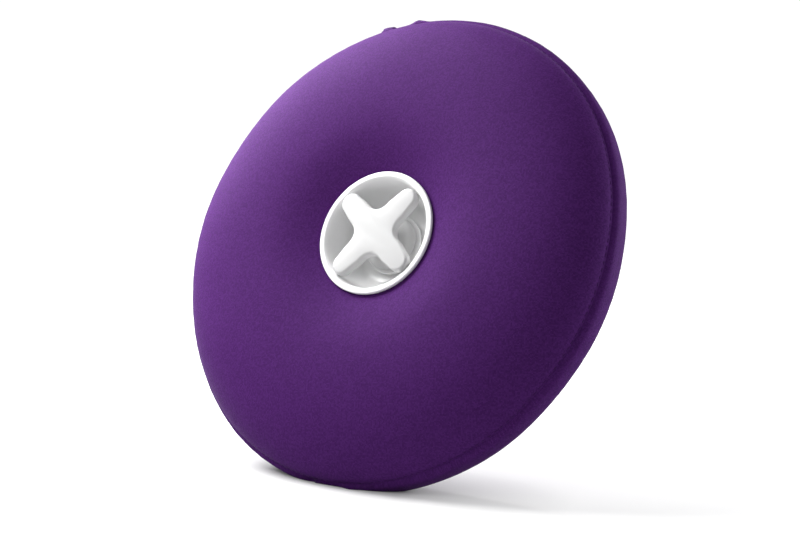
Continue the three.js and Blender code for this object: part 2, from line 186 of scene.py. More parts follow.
def floor_material():
    """A white paper that glows a little for the camera, more so further away from the cushion, with
    a painted contact shadow.
    """
    material, tree, output = node_material("pale_floor")
    grain = add_node(tree, "ShaderNodeTexNoise", {"Scale": FLOOR_GRAIN})
    tint = add_node(tree, "ShaderNodeMapRange", {
        "To Min": FLOOR_WHITE - FLOOR_MOTTLE, "To Max": FLOOR_WHITE + FLOOR_MOTTLE,
    })
    diffuse = add_node(tree, "ShaderNodeBsdfDiffuse")
    place = add_node(tree, "ShaderNodeTexCoord")
    distance = add_node(tree, "ShaderNodeVectorMath", operation="LENGTH")
    glow = add_node(tree, "ShaderNodeMapRange", {
        "From Min": GLOW_START, "From Max": GLOW_END, "To Min": GLOW_NEAR, "To Max": GLOW_FAR,
    }, interpolation_type="SMOOTHSTEP")
    path = add_node(tree, "ShaderNodeLightPath")
    seen = add_node(tree, "ShaderNodeMath", operation="MULTIPLY")
    # Ambient occlusion darkens the glow where the cushion stands on the floor: a painted contact
    # shadow.
    painted_contact_shade = add_node(tree, "ShaderNodeAmbientOcclusion", {"Distance": PAINTED_CONTACT_SHADE_REACH})
    emission = add_node(tree, "ShaderNodeEmission")
    paper = add_node(tree, "ShaderNodeAddShader")
    clear = add_node(tree, "ShaderNodeBsdfTransparent")
    side = add_node(tree, "ShaderNodeNewGeometry")
    mix = add_node(tree, "ShaderNodeMixShader")
    wire(
        tree,
        (grain, "Fac", tint, "Value"), (tint, "Result", diffuse, "Color"),
        (place, "Object", distance, 0), (distance, "Value", glow, "Value"),
        (glow, "Result", seen, 0), (path, "Is Camera Ray", seen, 1),
        (seen, "Value", emission, "Strength"), (painted_contact_shade, "Color", emission, "Color"),
        (diffuse, "BSDF", paper, 0), (emission, "Emission", paper, 1),
        (side, "Backfacing", mix, "Fac"), (paper, "Shader", mix, 1), (clear, "BSDF", mix, 2),
        (mix, "Shader", output, "Surface"),
    )
    return material


floor_up = from_view(0, math.cos(CAMERA_PITCH), math.sin(CAMERA_PITCH))
floor_drop = RIM_RADIUS * math.sqrt(1 - floor_up.z ** 2) - FLOOR_TOUCH
floor_turn = floor_up.to_track_quat("Z", "Y").to_matrix().to_4x4()
bpy.ops.mesh.primitive_plane_add(size=FLOOR_SIZE)
floor = bpy.context.object
floor.name = "floor"
floor.matrix_world = Matrix.Translation(middle - floor_up * floor_drop) @ floor_turn
floor.data.materials.append(floor_material())
print(f"floor {floor_drop * 1000:.0f} mm under the middle of the cushion")

# %% Light the scene
# Each light: its direction as the camera sees it, its distance, its size and its power.
LIGHTS = {
    "key": ((-0.65, 0.77, -0.34), 0.63, 0.56, 16.2),
    "fill": ((-0.25, 0.55, 1.0), 1.6, 1.4, 3.6),
    "side": ((1.0, 0.15, -0.2), 1.2, 0.7, 16.0),
}
AMBIENT, SEEN_WHITE = 0.27, 1.05


def area_light(name, direction, distance, size, power):
    light = bpy.data.objects.new(name, bpy.data.lights.new(name, "AREA"))
    bpy.context.scene.collection.objects.link(light)
    light.data.size = size
    light.data.energy = power
    towards = from_view(*direction).normalized()
    turn = towards.to_track_quat("Z", "Y").to_matrix().to_4x4()
    light.matrix_world = Matrix.Translation(middle + towards * distance) @ turn


def studio_world():
    """White where the camera sees it, and dimmer as a source of light."""
    world = bpy.data.worlds.new("studio")
    bpy.context.scene.world = world
    world.use_nodes = True
    tree = world.node_tree
    tree.nodes.clear()
    path = add_node(tree, "ShaderNodeLightPath")
    strength = add_node(tree, "ShaderNodeMapRange", {"To Min": AMBIENT, "To Max": SEEN_WHITE})
    background = add_node(tree, "ShaderNodeBackground", {"Color": (1, 1, 1, 1)})
    output = add_node(tree, "ShaderNodeOutputWorld")
    wire(
        tree,
        (path, "Is Camera Ray", strength, "Value"), (strength, "Result", background, "Strength"),
        (background, "Background", output, "Surface"),
    )


for name, values in LIGHTS.items():
    area_light(name, *values)
studio_world()
bpy.context.scene.view_settings.view_transform = "Standard"
print("lights:", ", ".join(LIGHTS), "and a white world")

# %% [markdown]
# ## Knitted fabric
#
# The cover is a fine, smooth stretch knit. Seen close, such a fabric is columns of small V-shaped
# stitches. A shader node group draws them from a flat coordinate measured in metres along the
# cloth: it folds each column about its middle, slants the rows up both sides, and rounds each
# stitch. It puts out a height for the bump, a colour with a little variation from stitch to stitch
# and with painted shade in the hollows between the loops, and a roughness. Every fabric and tape
# on the cushion uses this group with its own values.

# %% Helpers for node groups
COLOR, NUMBER, VECTOR = "NodeSocketColor", "NodeSocketFloat", "NodeSocketVector"
SURFACE_OUTPUTS = (("Color", COLOR), ("Roughness", NUMBER), ("Height", NUMBER))


def new_group(name, *inputs):
    """A shader node group with a place and other named inputs, and a surface's three outputs."""
    tree = bpy.data.node_groups.new(name, "ShaderNodeTree")
    for label, kind in (("Place", VECTOR), *inputs):
        tree.interface.new_socket(label, in_out="INPUT", socket_type=kind)
    for label, kind in SURFACE_OUTPUTS:
        tree.interface.new_socket(label, in_out="OUTPUT", socket_type=kind)
    return tree, add_node(tree, "NodeGroupInput"), add_node(tree, "NodeGroupOutput")


def set_or_link(tree, socket, value):
    if isinstance(value, bpy.types.NodeSocket):
        tree.links.new(value, socket)
    else:
        socket.default_value = value


def maths(tree, operation, *values):
    """One Math node. Each value is a number or another node's output; its own output comes back."""
    node = add_node(tree, "ShaderNodeMath", operation=operation)
    for socket, value in zip(node.inputs, values):
        set_or_link(tree, socket, value)
    return node.outputs["Value"]


def mixed(tree, factor, first, second):
    """One colour Mix node between two colours or outputs."""
    node = add_node(tree, "ShaderNodeMix", data_type="RGBA")
    for number, value in ((0, factor), (6, first), (7, second)):
        set_or_link(tree, node.inputs[number], value)
    return node.outputs[2]


# %% Build the knit group
STITCH_SLANT, STITCH_ROUNDNESS = 1.3, 0.5
FUZZ_SCALE, FUZZ_SHARE, FUZZ_ROUGHNESS = 700, 0.35, 0.12
MOTTLE_SCALE, MOTTLE_SHARE = 22, 0.25


def knit_group():
    tree, entry, leave = new_group(
        "knit", ("Column Width", NUMBER), ("Row Height", NUMBER), ("Yarn Color", COLOR),
        ("Fleck And Hollow Shade Color", COLOR), ("Speckle", NUMBER), ("Base Roughness", NUMBER),
    )

    def plus(first, second):
        return maths(tree, "ADD", first, second)

    def times(first, second):
        return maths(tree, "MULTIPLY", first, second)

    split = add_node(tree, "ShaderNodeSeparateXYZ")
    cell = add_node(tree, "ShaderNodeCombineXYZ")
    speck = add_node(tree, "ShaderNodeTexWhiteNoise")
    fuzz = add_node(tree, "ShaderNodeTexNoise", {"Scale": FUZZ_SCALE, "Detail": 3})
    mottle = add_node(tree, "ShaderNodeTexNoise", {"Scale": MOTTLE_SCALE, "Detail": 4})
    wire(
        tree,
        (entry, "Place", split, 0), (entry, "Place", fuzz, "Vector"),
        (entry, "Place", mottle, "Vector"), (cell, "Vector", speck, "Vector"),
    )
    across = maths(tree, "DIVIDE", split.outputs["X"], entry.outputs["Column Width"])
    along = maths(tree, "DIVIDE", split.outputs["Y"], entry.outputs["Row Height"])
    from_middle = maths(tree, "SUBTRACT", maths(tree, "FRACT", across), 0.5)
    from_middle = maths(tree, "ABSOLUTE", from_middle)
    slanted = plus(along, times(from_middle, STITCH_SLANT))
    in_row = maths(tree, "SINE", times(maths(tree, "FRACT", slanted), math.pi))
    in_leg = maths(tree, "SINE", times(from_middle, 2 * math.pi))
    height = times(in_row, maths(tree, "POWER", in_leg, STITCH_ROUNDNESS))
    set_or_link(tree, cell.inputs["X"], maths(tree, "FLOOR", across))
    set_or_link(tree, cell.inputs["Y"], maths(tree, "FLOOR", slanted))

    specks = times(speck.outputs["Value"], entry.outputs["Speckle"])
    fuzzed = plus(specks, times(fuzz.outputs["Fac"], FUZZ_SHARE))
    mottled = plus(fuzzed, times(mottle.outputs["Fac"], MOTTLE_SHARE))
    # The second colour is mixed in by random flecks and mottle, and where the loops dip: painted
    # shade in the hollows between the stitches.
    fleck_and_hollow_shade = times(plus(mottled, maths(tree, "SUBTRACT", 1.0, height)), 0.5)
    color = mixed(tree, fleck_and_hollow_shade, entry.outputs["Yarn Color"], entry.outputs["Fleck And Hollow Shade Color"])
    rough = plus(entry.outputs["Base Roughness"], times(fuzz.outputs["Fac"], FUZZ_ROUGHNESS))
    for socket, value in zip(leave.inputs, (color, rough, height)):
        tree.links.new(value, socket)
    return tree


knit_tree = knit_group()
print("knit group:", len(knit_tree.nodes), "nodes")

# %% Mix the fabrics
CLOTH_MAP = "cloth"
YARN_ROUGHNESS, YARN_RELIEF, YARN_SPECULAR = 0.6, 0.12 * MM, 0.03
SHEEN_ROUGHNESS, SHEEN_TINT = 0.25, (0.72, 0.62, 0.85, 1)


def patterned_material(name, group, values, bump, relief_depth, mapped=False, shine=()):
    """A material whose group reads the cloth map or object coordinates. Its shine is constant."""
    material, tree, output = node_material(name)
    place = add_node(tree, "ShaderNodeUVMap" if mapped else "ShaderNodeTexCoord")
    if mapped:
        place.uv_map = CLOTH_MAP
    pattern = add_node(tree, "ShaderNodeGroup", values, node_tree=group)
    relief = add_node(tree, "ShaderNodeBump", {"Strength": bump, "Distance": relief_depth})
    shader = add_node(tree, "ShaderNodeBsdfPrincipled", shine)
    wire(
        tree,
        (place, "UV" if mapped else "Object", pattern, "Place"),
        (pattern, "Color", shader, "Base Color"), (pattern, "Roughness", shader, "Roughness"),
        (pattern, "Height", relief, "Height"), (relief, "Normal", shader, "Normal"),
        (shader, "BSDF", output, "Surface"),
    )
    return material


def fabric_material(name, yarn, fleck_and_hollow_shade, column, row, speckle, bump, sheen, mapped=True):
    """A knit, a tape or a thread. A loop is as wide as a column and as high as a row."""
    return patterned_material(name, knit_tree, {
        "Column Width": column, "Row Height": row, "Yarn Color": (*yarn, 1),
        "Fleck And Hollow Shade Color": (*fleck_and_hollow_shade, 1), "Speckle": speckle, "Base Roughness": YARN_ROUGHNESS,
    }, bump, YARN_RELIEF, mapped, {
        "Sheen Weight": sheen, "Sheen Roughness": SHEEN_ROUGHNESS, "Sheen Tint": SHEEN_TINT,
        "Specular IOR Level": YARN_SPECULAR,
    })


# Each fabric's second colour gives its random flecks and the painted shade in the hollows between
# its loops.
knit_fabric = fabric_material(
    "purple_knit", (0.093, 0.0214, 0.169), (0.0442, 0.0089, 0.0806),
    column=0.9 * MM, row=0.75 * MM, speckle=0.9, bump=0.5, sheen=0.09,
)
binding_fabric = fabric_material(
    "purple_binding", (0.085, 0.026, 0.150), (0.045, 0.012, 0.085),
    column=0.7 * MM, row=0.5 * MM, speckle=0.2, bump=0.7, sheen=0.06,
)
thread_fabric = fabric_material(
    "purple_thread", (0.060, 0.016, 0.105), (0.030, 0.008, 0.055),
    column=0.3 * MM, row=0.3 * MM, speckle=0.2, bump=0.5, sheen=0.05, mapped=False,
)
print("fabrics:", knit_fabric.name, binding_fabric.name, thread_fabric.name)

# %% [markdown]
# ## Moulded plastic, rubber and sheet
#
# A moulded surface is never perfectly even: it has a very fine texture from the mould and a slight
# cloudiness in its gloss. One more group gives both from noise in object coordinates. The funnel is
# glossy and bright, the stopper is satin and a little greyer, and the seals and the bladder use the
# same group with softer values.

# %% Build the moulded group and its materials
MOULD_CLOUD_SCALE, MOULD_RELIEF = 60, 0.05 * MM


def moulded_group():
    tree, entry, leave = new_group(
        "moulded", ("Main Color", COLOR), ("Cloud Color", COLOR), ("Gloss Low", NUMBER),
        ("Gloss High", NUMBER), ("Grain Scale", NUMBER),
    )
    grain = add_node(tree, "ShaderNodeTexNoise", {"Detail": 4})
    cloud = add_node(tree, "ShaderNodeTexNoise", {"Scale": MOULD_CLOUD_SCALE, "Detail": 3})
    gloss = add_node(tree, "ShaderNodeMapRange")
    wire(
        tree,
        (entry, "Place", grain, "Vector"), (entry, "Grain Scale", grain, "Scale"),
        (entry, "Place", cloud, "Vector"), (cloud, "Fac", gloss, "Value"),
        (entry, "Gloss Low", gloss, "To Min"), (entry, "Gloss High", gloss, "To Max"),
        (gloss, "Result", leave, "Roughness"), (grain, "Fac", leave, "Height"),
    )
    main, clouded = entry.outputs["Main Color"], entry.outputs["Cloud Color"]
    tree.links.new(mixed(tree, cloud.outputs["Fac"], main, clouded), leave.inputs["Color"])
    return tree


moulded_tree = moulded_group()


def moulded_material(name, main, cloud, gloss, bump, grain=900.0):
    """A plastic, rubber or sheet. Its gloss is the lowest and the highest roughness."""
    return patterned_material(name, moulded_tree, {
        "Main Color": (*main, 1), "Cloud Color": (*cloud, 1),
        "Gloss Low": gloss[0], "Gloss High": gloss[1], "Grain Scale": grain,
    }, bump, MOULD_RELIEF)


funnel_plastic = moulded_material(
    "white_funnel_plastic", (0.93, 0.93, 0.93), (0.91, 0.91, 0.915), gloss=(0.16, 0.24), bump=0.10,
)
stopper_plastic = moulded_material(
    "white_stopper_plastic", (0.59, 0.59, 0.59), (0.57, 0.57, 0.574), gloss=(0.30, 0.42), bump=0.22,
)
inner_plastic = moulded_material(
    "white_inner_plastic", (0.88, 0.88, 0.88), (0.84, 0.84, 0.84), gloss=(0.25, 0.35), bump=0.3,
)
seal_rubber = moulded_material(
    "grey_seal_rubber", (0.25, 0.25, 0.25), (0.18, 0.18, 0.18), gloss=(0.6, 0.75), bump=0.5,
)
bladder_sheet = moulded_material(
    "violet_bladder_sheet", (0.42, 0.39, 0.47), (0.36, 0.33, 0.42), gloss=(0.35, 0.5), bump=0.5,
    grain=350.0,
)
print("moulded group:", len(moulded_tree.nodes), "nodes")

# %% [markdown]
# ## Turned shapes
#
# The cover, the funnel, the neck and the plug are all bodies of revolution, so one function turns a
# profile about Z. A second one rounds the corners of a profile: each point carries the radius of
# its own fillet, as on a drawing.

# %% Helpers for turned shapes
SMOOTH_ANGLE, TURNED_SECTORS = 35, 192


def mesh_object(name, vertices, faces, smooth_angle=SMOOTH_ANGLE):
    """A new object from vertices and faces, with soft shading below an angle."""
    mesh = bpy.data.meshes.new(name)
    mesh.from_pydata([tuple(v) for v in vertices], [], faces)
    mesh.update()
    obj = bpy.data.objects.new(name, mesh)
    bpy.context.scene.collection.objects.link(obj)
    mesh.shade_smooth()
    mesh.set_sharp_from_angle(angle=math.radians(smooth_angle))
    return obj


@contextmanager
def mesh_edit(obj):
    """Opens an object's mesh for editing and writes it back."""
    mesh = bmesh.new()
    mesh.from_mesh(obj.data)
    yield mesh
    mesh.to_mesh(obj.data)
    mesh.free()


def face_outwards(obj):
    with mesh_edit(obj) as mesh:
        bmesh.ops.remove_doubles(mesh, verts=mesh.verts, dist=1e-7)
        bmesh.ops.recalc_face_normals(mesh, faces=mesh.faces)


def grid_faces(rows, columns):
    """The faces between rows of vertices, where each row runs back to its own start."""
    faces = []
    for i in range(rows - 1):
        for j in range(columns):
            k = (j + 1) % columns
            low, high = i * columns, (i + 1) * columns
            faces.append((low + j, low + k, high + k, high + j))
    return faces


def revolve(profile, sectors, closed):
    """A profile of (radius, z) turned about Z. A point on the axis becomes a pole."""
    vertices, rows, faces = [], [], []
    angles = np.arange(sectors) * 2 * math.pi / sectors
    for radius, z in profile:
        start = len(vertices)
        if radius < 1e-6:
            vertices.append((0.0, 0.0, z))
            rows.append([start] * sectors)
        else:
            vertices += [(radius * math.cos(a), radius * math.sin(a), z) for a in angles]
            rows.append(list(range(start, start + sectors)))
    pairs = list(zip(rows, rows[1:])) + ([(rows[-1], rows[0])] if closed else [])
    for lower, upper in pairs:
        for i in range(sectors):
            j = (i + 1) % sectors
            corners = [lower[i], lower[j], upper[j], upper[i]]
            unique = list(dict.fromkeys(corners))
            if len(unique) > 2:
                faces.append(unique)
    return vertices, faces


def rounded(corners, steps=6):
    """A closed profile in millimetres from (radius, z, fillet) corners, as points in metres."""
    points = []
    count = len(corners)
    for i, (radius, z, fillet) in enumerate(corners):
        corner = Vector((radius, z))
        before = Vector(corners[i - 1][:2]) - corner
        after = Vector(corners[(i + 1) % count][:2]) - corner
        if fillet <= 0 or before.length == 0 or after.length == 0:
            points.append(corner * MM)
            continue
        half = before.angle(after) / 2
        reach = min(fillet / math.tan(half), before.length * 0.49, after.length * 0.49)
        first, last = corner + before.normalized() * reach, corner + after.normalized() * reach
        for k in range(steps + 1):
            t = k / steps
            points.append((first * (1 - t) ** 2 + corner * 2 * t * (1 - t) + last * t ** 2) * MM)
    return [(p.x, p.y) for p in points]


def finish_piece(obj, material, body, slot, *nodes):
    """Gives a piece its material, its body and the CAD nodes that it stands for. Its slot is not
    used.
    """
    obj.data.materials.clear()
    obj.data.materials.append(material)
    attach(obj, body)
    if nodes:
        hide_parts(*nodes)
    return obj


def turned_piece(name, profile, sectors=TURNED_SECTORS, smooth_angle=SMOOTH_ANGLE):
    vertices, faces = revolve(profile, sectors, closed=True)
    obj = mesh_object(name, vertices, faces, smooth_angle)
    face_outwards(obj)
    obj.data.set_sharp_from_angle(angle=math.radians(smooth_angle))
    return obj


print("helpers ready")

# %% [markdown]
# ## The shape of the cover
#
# The fabric is stretched over a bladder full of water. From the funnel it rises over a crown, then
# falls in one full curve to the seam, rolls round the rim and lies flat underneath. The profile is
# written once, as two halves that meet at the seam, and then cut into steps of equal length along
# the cloth, so that the simulation has even squares to work on.

# %% Draw the profile
HOLE_RADIUS, HOLE_Z = 37.7 * MM, 40.0 * MM
FRONT_ROUNDNESS, FRONT_FALL = 2.4, 0.6
BACK_CORNERS = (
    (146.9, 24.6), (149.4, 23.6), (150.4, 19.5), (149.6, 11), (143.5, 4.4), (131, 0.7), (112, 0.4),
)


def smooth_line(points, steps):
    """A Catmull-Rom curve through points, with a number of steps between each two."""
    padded = [2 * points[0] - points[1], *points, 2 * points[-1] - points[-2]]
    line = []
    for a, b, c, d in zip(padded, padded[1:], padded[2:], padded[3:]):
        for t in np.arange(steps) / steps:
            square, cube = 2 * a - 5 * b + 4 * c - d, 3 * b - a - 3 * c + d
            line.append(0.5 * (2 * b + (c - a) * t + square * t ** 2 + cube * t ** 3))
    return np.array([*line, points[-1]])


def front_height(radius):
    """Height of the front fabric at a radius."""
    if radius < CROWN_RADIUS:
        part = (radius - HOLE_RADIUS) / (CROWN_RADIUS - HOLE_RADIUS)
        return HOLE_Z + math.sin(max(part, 0) * math.pi / 2) * (CROWN_Z - HOLE_Z)
    reach = min((radius - CROWN_RADIUS) / (SEAM_RADIUS - CROWN_RADIUS), 1)
    return SEAM_Z + (1 - reach ** FRONT_ROUNDNESS) ** FRONT_FALL * (CROWN_Z - SEAM_Z)


def even_steps(line, count):
    """The same line with a number of steps of equal length."""
    lengths = np.hypot(*np.diff(line, axis=0).T)
    travelled = np.concatenate(([0], np.cumsum(lengths)))
    wanted = np.linspace(0, travelled[-1], count + 1)
    return np.stack([np.interp(wanted, travelled, line[:, k]) for k in (0, 1)], axis=1)


DIP_STEPS, FALL_STEPS, BACK_STEPS = 40, 120, 24


def front_line():
    dip = [HOLE_RADIUS + t * (CROWN_RADIUS - HOLE_RADIUS) for t in np.linspace(0, 1, DIP_STEPS)]
    fall = [CROWN_RADIUS + math.sin(t) * (SEAM_RADIUS - CROWN_RADIUS)
            for t in np.linspace(0, math.pi / 2, FALL_STEPS)[1:]]
    return np.array([(radius, front_height(radius)) for radius in dip + fall])


def back_line():
    corners = [np.array(c) * MM for c in BACK_CORNERS]
    return np.vstack((smooth_line(corners, BACK_STEPS), [(0.0, corners[-1][1])]))


FRONT_RINGS, BACK_RINGS, SECTORS = 40, 56, 180
front_profile = even_steps(front_line(), FRONT_RINGS)
back_profile = even_steps(back_line(), BACK_RINGS)
print(f"front {FRONT_RINGS} rings, back {BACK_RINGS} rings, {SECTORS} sectors")

# %% [markdown]
# ## Cloth simulation
#
# The filled shape comes from a cloth simulation. Front and back are one mesh while it runs. The
# seam, the edge of the hole and the flat underside are pinned, pressure pushes everything else
# outwards with gravity off, and no point may move further than a small cap. The seam is pinned a
# little inside the rim, which is what makes the two panels swell on both sides of it.

# %% Simulate the filled cover
CLOTH = {
    "quality": 5, "mass": 0.2, "tension_stiffness": 30, "compression_stiffness": 30,
    "shear_stiffness": 15, "bending_stiffness": 0.5, "use_pressure": True,
    "uniform_pressure_force": 4.0, "vertex_group_mass": "pins",
}
SIM_FRAMES = 20
SWELL_CAP, SEAM_HOLD = 2.2 * MM, 10
PINNED_FLAT = 112 * MM


def is_pinned(ring, radius):
    """The edge of the hole, the seam and the flat underside stay where they are."""
    return ring <= 1 or ring == FRONT_RINGS or (ring > FRONT_RINGS and radius < PINNED_FLAT)


def cloth_result(obj):
    """Runs the simulation on an object and returns where its points come to rest."""
    group = obj.vertex_groups.new(name="pins")
    pinned = [ring for ring, (radius, _) in enumerate(cover_profile) if is_pinned(ring, radius)]
    indices = [ring * SECTORS + sector for ring in pinned for sector in range(SECTORS)]
    group.add(indices, 1.0, "REPLACE")
    modifier = obj.modifiers.new("Cloth", "CLOTH")
    for setting, value in CLOTH.items():
        setattr(modifier.settings, setting, value)
    modifier.settings.effector_weights.gravity = 0
    modifier.collision_settings.use_collision = False
    modifier.point_cache.frame_end = SIM_FRAMES
    for step in range(1, SIM_FRAMES + 1):
        bpy.context.scene.frame_set(step)
    shaped = obj.evaluated_get(bpy.context.evaluated_depsgraph_get())
    result = np.array([v.co for v in shaped.data.vertices])
    obj.modifiers.remove(modifier)
    bpy.context.scene.frame_set(1)
    return result


cover_profile = np.vstack((front_profile, back_profile[1:-1]))
vertices, faces = revolve(cover_profile, SECTORS, closed=False)
form = mesh_object("cover_form", vertices, faces)
if form.data.polygons[SECTORS * 4].normal.z < 0:
    form.data.flip_normals()
rest_points = np.array(vertices)
points = rest_points.copy()
moved = cloth_result(form) - rest_points
length = np.linalg.norm(moved, axis=1, keepdims=True)
rings = np.repeat(np.arange(len(cover_profile)), SECTORS)
held = np.clip((FRONT_RINGS - rings) / SEAM_HOLD, 0, 1)
held[rings > FRONT_RINGS] = 1
capped = np.minimum(1, SWELL_CAP / np.maximum(length, 1e-9))
points = rest_points + moved * capped * held[:, None]
print(f"cloth: largest move {length.max() * 1000:.2f} mm, kept under {SWELL_CAP * 1000:.1f} mm")
grid = points.reshape(len(cover_profile), SECTORS, 3)
bpy.data.objects.remove(form)

# %% [markdown]
# ## From the simulated form to sewn panels
#
# The simulated points stay on a grid of rings and sectors, which makes it easy to ask for any point
# of the cover by ring and angle. The panels are built from that grid, twice as fine, with the small
# things that a simulation at this size can't show: the gathers along the seam, where the thread
# pulls the knit in, and the slow unevenness of a soft body.

# %% Refine the grid
FINE = 2
GATHER_DEPTH, GATHER_REACH = 0.14 * MM, 7 * MM
RIPPLE_COARSE, RIPPLE_FINE, FINE_SHARE, RIPPLE_OFFSET = 26, 61, 0.6, Vector((3, 1, 4))
UNEVENNESS, UNEVEN_SCALE = 0.7 * MM, 17
UNEVEN_FROM, UNEVEN_OUTWARDS = 9 * MM, 0.45
SLUMP, SLUMP_ANGLE = 2.4 * MM, math.radians(-93)
SQUEEZE, SQUEEZE_ANGLE = 0.8 * MM, math.radians(5)


def refine(grid):
    """Twice as many rings and sectors, on smooth curves between the old ones."""
    def between(a, b, c, d):
        return (-a + 9 * b + 9 * c - d) / 16
    around = np.empty((grid.shape[0], grid.shape[1] * FINE, 3))
    around[:, ::2] = grid
    around[:, 1::2] = between(np.roll(grid, 1, 1), grid, np.roll(grid, -1, 1), np.roll(grid, -2, 1))
    rows = around.shape[0]
    fine = np.empty((2 * rows - 1, around.shape[1], 3))
    fine[::2] = around
    first, last = 2 * around[0] - around[1], 2 * around[-1] - around[-2]
    padded = np.concatenate(([first], around, [last]))
    fine[1::2] = between(padded[:-3], padded[1:-2], padded[2:-1], padded[3:])
    return fine


def grid_normals(grid):
    """Outward directions at the points of a grid that runs from the front to the back."""
    along = np.gradient(grid, axis=0)
    around = np.roll(grid, -1, 1) - np.roll(grid, 1, 1)
    normal = np.cross(around, along)
    normal /= np.maximum(np.linalg.norm(normal, axis=2, keepdims=True), 1e-12)
    return -normal if normal[4, 0, 2] < 0 else normal


def gathered(grid, seam_row):
    """Adds the gathers of the seam and the slow unevenness of the filled form."""
    normals = grid_normals(grid)
    result = grid.copy()
    steps = np.linalg.norm(np.diff(grid[:, 0], axis=0), axis=1)
    travelled = np.concatenate(([0], np.cumsum(steps)))
    for column in range(grid.shape[1]):
        angle = column / grid.shape[1] * 2 * math.pi
        spot = Vector((math.cos(angle), math.sin(angle), 0))
        ripple = noise.noise(spot * RIPPLE_COARSE)
        ripple += FINE_SHARE * noise.noise(spot * RIPPLE_FINE + RIPPLE_OFFSET)
        away = np.abs(travelled - travelled[seam_row])
        fade = (away / GATHER_REACH) * np.exp(1 - away / GATHER_REACH)
        result[:, column] += normals[:, column] * (GATHER_DEPTH * ripple * fade)[:, None]
    for row in range(2, grid.shape[0] - 1):
        for column in range(grid.shape[1]):
            spot = Vector(grid[row, column])
            slow = noise.noise(spot * UNEVEN_SCALE) + UNEVEN_OUTWARDS
            slow *= min(max(spot.z / UNEVEN_FROM, 0), 1) ** 2
            result[row, column] += normals[row, column] * UNEVENNESS * slow
    return result


def slumped(grid):
    """Moves the rim out where the water gathers, and in a little a quarter of a turn further on."""
    angle = np.arctan2(grid[:, :, 1], grid[:, :, 0])
    radius = np.hypot(grid[:, :, 0], grid[:, :, 1])
    out = SLUMP * np.maximum(np.cos(angle - SLUMP_ANGLE), 0) ** 1.5
    out -= SQUEEZE * np.maximum(np.cos(angle - SQUEEZE_ANGLE), 0) ** 2
    factor = 1 + out / RIM_RADIUS * (radius / RIM_RADIUS) ** 2
    return grid * np.stack((factor, factor, np.ones_like(factor)), axis=2)


SEAM_ROW = FRONT_RINGS * FINE
fine_grid = slumped(gathered(refine(grid), SEAM_ROW))
fine_normals = grid_normals(fine_grid)
print("fine grid", fine_grid.shape)

# %% [markdown]
# ## Panels with thickness and a cloth map
#
# A panel is a sheet with two faces, so each one is thickened inwards by the thickness of the knit.
# Its cloth map holds, for every point, where that point lay on the flat fabric in metres: the
# distance along the cloth from the middle, in the point's own direction. The knit therefore keeps
# its size all over, and isn't stretched on the rim.

# %% Helpers for panels
FABRIC = 1.0 * MM
SEAM_TUCK, FRONT_TUCK_RISE, BACK_TUCK_RISE = 3.0 * MM, 0.4 * MM, -0.3 * MM
MAP_STEPS = 400
PANEL_SMOOTH_ANGLE = 60


def add_cloth_map(obj, place):
    """Writes the cloth map from a function of a point."""
    layer = obj.data.uv_layers.new(name=CLOTH_MAP)
    flat = [place(v.co) for v in obj.data.vertices]
    for loop in obj.data.loops:
        layer.data[loop.index].uv = flat[loop.vertex_index]


def polar_place(profile, from_axis):
    """The flat place of a point on a panel cut round the axis."""
    steps = np.hypot(*np.diff(profile, axis=0).T)
    travelled = from_axis + np.concatenate(([0], np.cumsum(steps)))

    def place(point):
        radius = math.hypot(point.x, point.y)
        nearest = np.argmin((profile[:, 0] - radius) ** 2 + (profile[:, 1] - point.z) ** 2)
        distance = travelled[nearest] + (radius - profile[nearest, 0]) * 0.5
        angle = math.atan2(point.y, point.x)
        return (distance * math.cos(angle), distance * math.sin(angle))
    return place


def apply_modifiers(obj):
    shaped = obj.evaluated_get(bpy.context.evaluated_depsgraph_get())
    mesh = bpy.data.meshes.new_from_object(shaped)
    obj.modifiers.clear()
    obj.data = mesh
    return obj


def thicken(obj, thickness):
    """Gives a sheet its thickness on the inner side."""
    modifier = obj.modifiers.new("Thickness", "SOLIDIFY")
    modifier.thickness = thickness
    modifier.offset = -1
    modifier.use_even_offset = False
    apply_modifiers(obj)


def sheet_object(name, grid):
    """A sheet from rows of points whose faces point out of the cushion."""
    obj = mesh_object(name, grid.reshape(-1, 3), grid_faces(*grid.shape[:2]), PANEL_SMOOTH_ANGLE)
    middle_face = obj.data.polygons[len(obj.data.polygons) // 2]
    if middle_face.normal.dot(middle_face.center - middle) < 0:
        obj.data.flip_normals()
    return obj


print("panel helpers ready")

# %% [markdown]
# ## Front panel
#
# One round piece of knit with a hole in the middle. Its inner edge is tucked under the lip of the
# funnel. At the seam its edge turns inwards, so the seam is a soft valley between two rounded
# panels and not a line drawn on them.

# %% Make the front panel
front_rows = fine_grid[:SEAM_ROW + 1]


def turned_in(edge, inwards, rise):
    """Rows that carry on from an edge towards the inside of the cushion."""
    away = edge.copy()
    away[:, 2] = 0
    away /= np.linalg.norm(away, axis=1, keepdims=True)
    rows = []
    for t in (0.33, 0.67, 1.0):
        row = edge - away * inwards * t
        row[:, 2] += rise * t
        rows.append(row)
    return np.array(rows)


front_sheet = np.concatenate((front_rows, turned_in(front_rows[-1], SEAM_TUCK, FRONT_TUCK_RISE)))
front_panel = sheet_object("cover_front", front_sheet)
thicken(front_panel, FABRIC)
add_cloth_map(front_panel, polar_place(even_steps(front_line(), MAP_STEPS), HOLE_RADIUS))
finish_piece(front_panel, knit_fabric, "root", "knit", "cover_front_panel")
print("front panel:", len(front_panel.data.polygons), "faces")

# %% [markdown]
# ## The two flaps of the back
#
# The cover comes off through an opening in its back: two flaps that overlap. Both are cut from the
# same simulated form along a straight line. The flap that lies inside is moved inwards by one
# thickness where it is tucked under, and the flap that lies outside is lifted a little by the
# binding underneath it. That ridge, and the end of its own binding, make two small bumps at the
# rim.

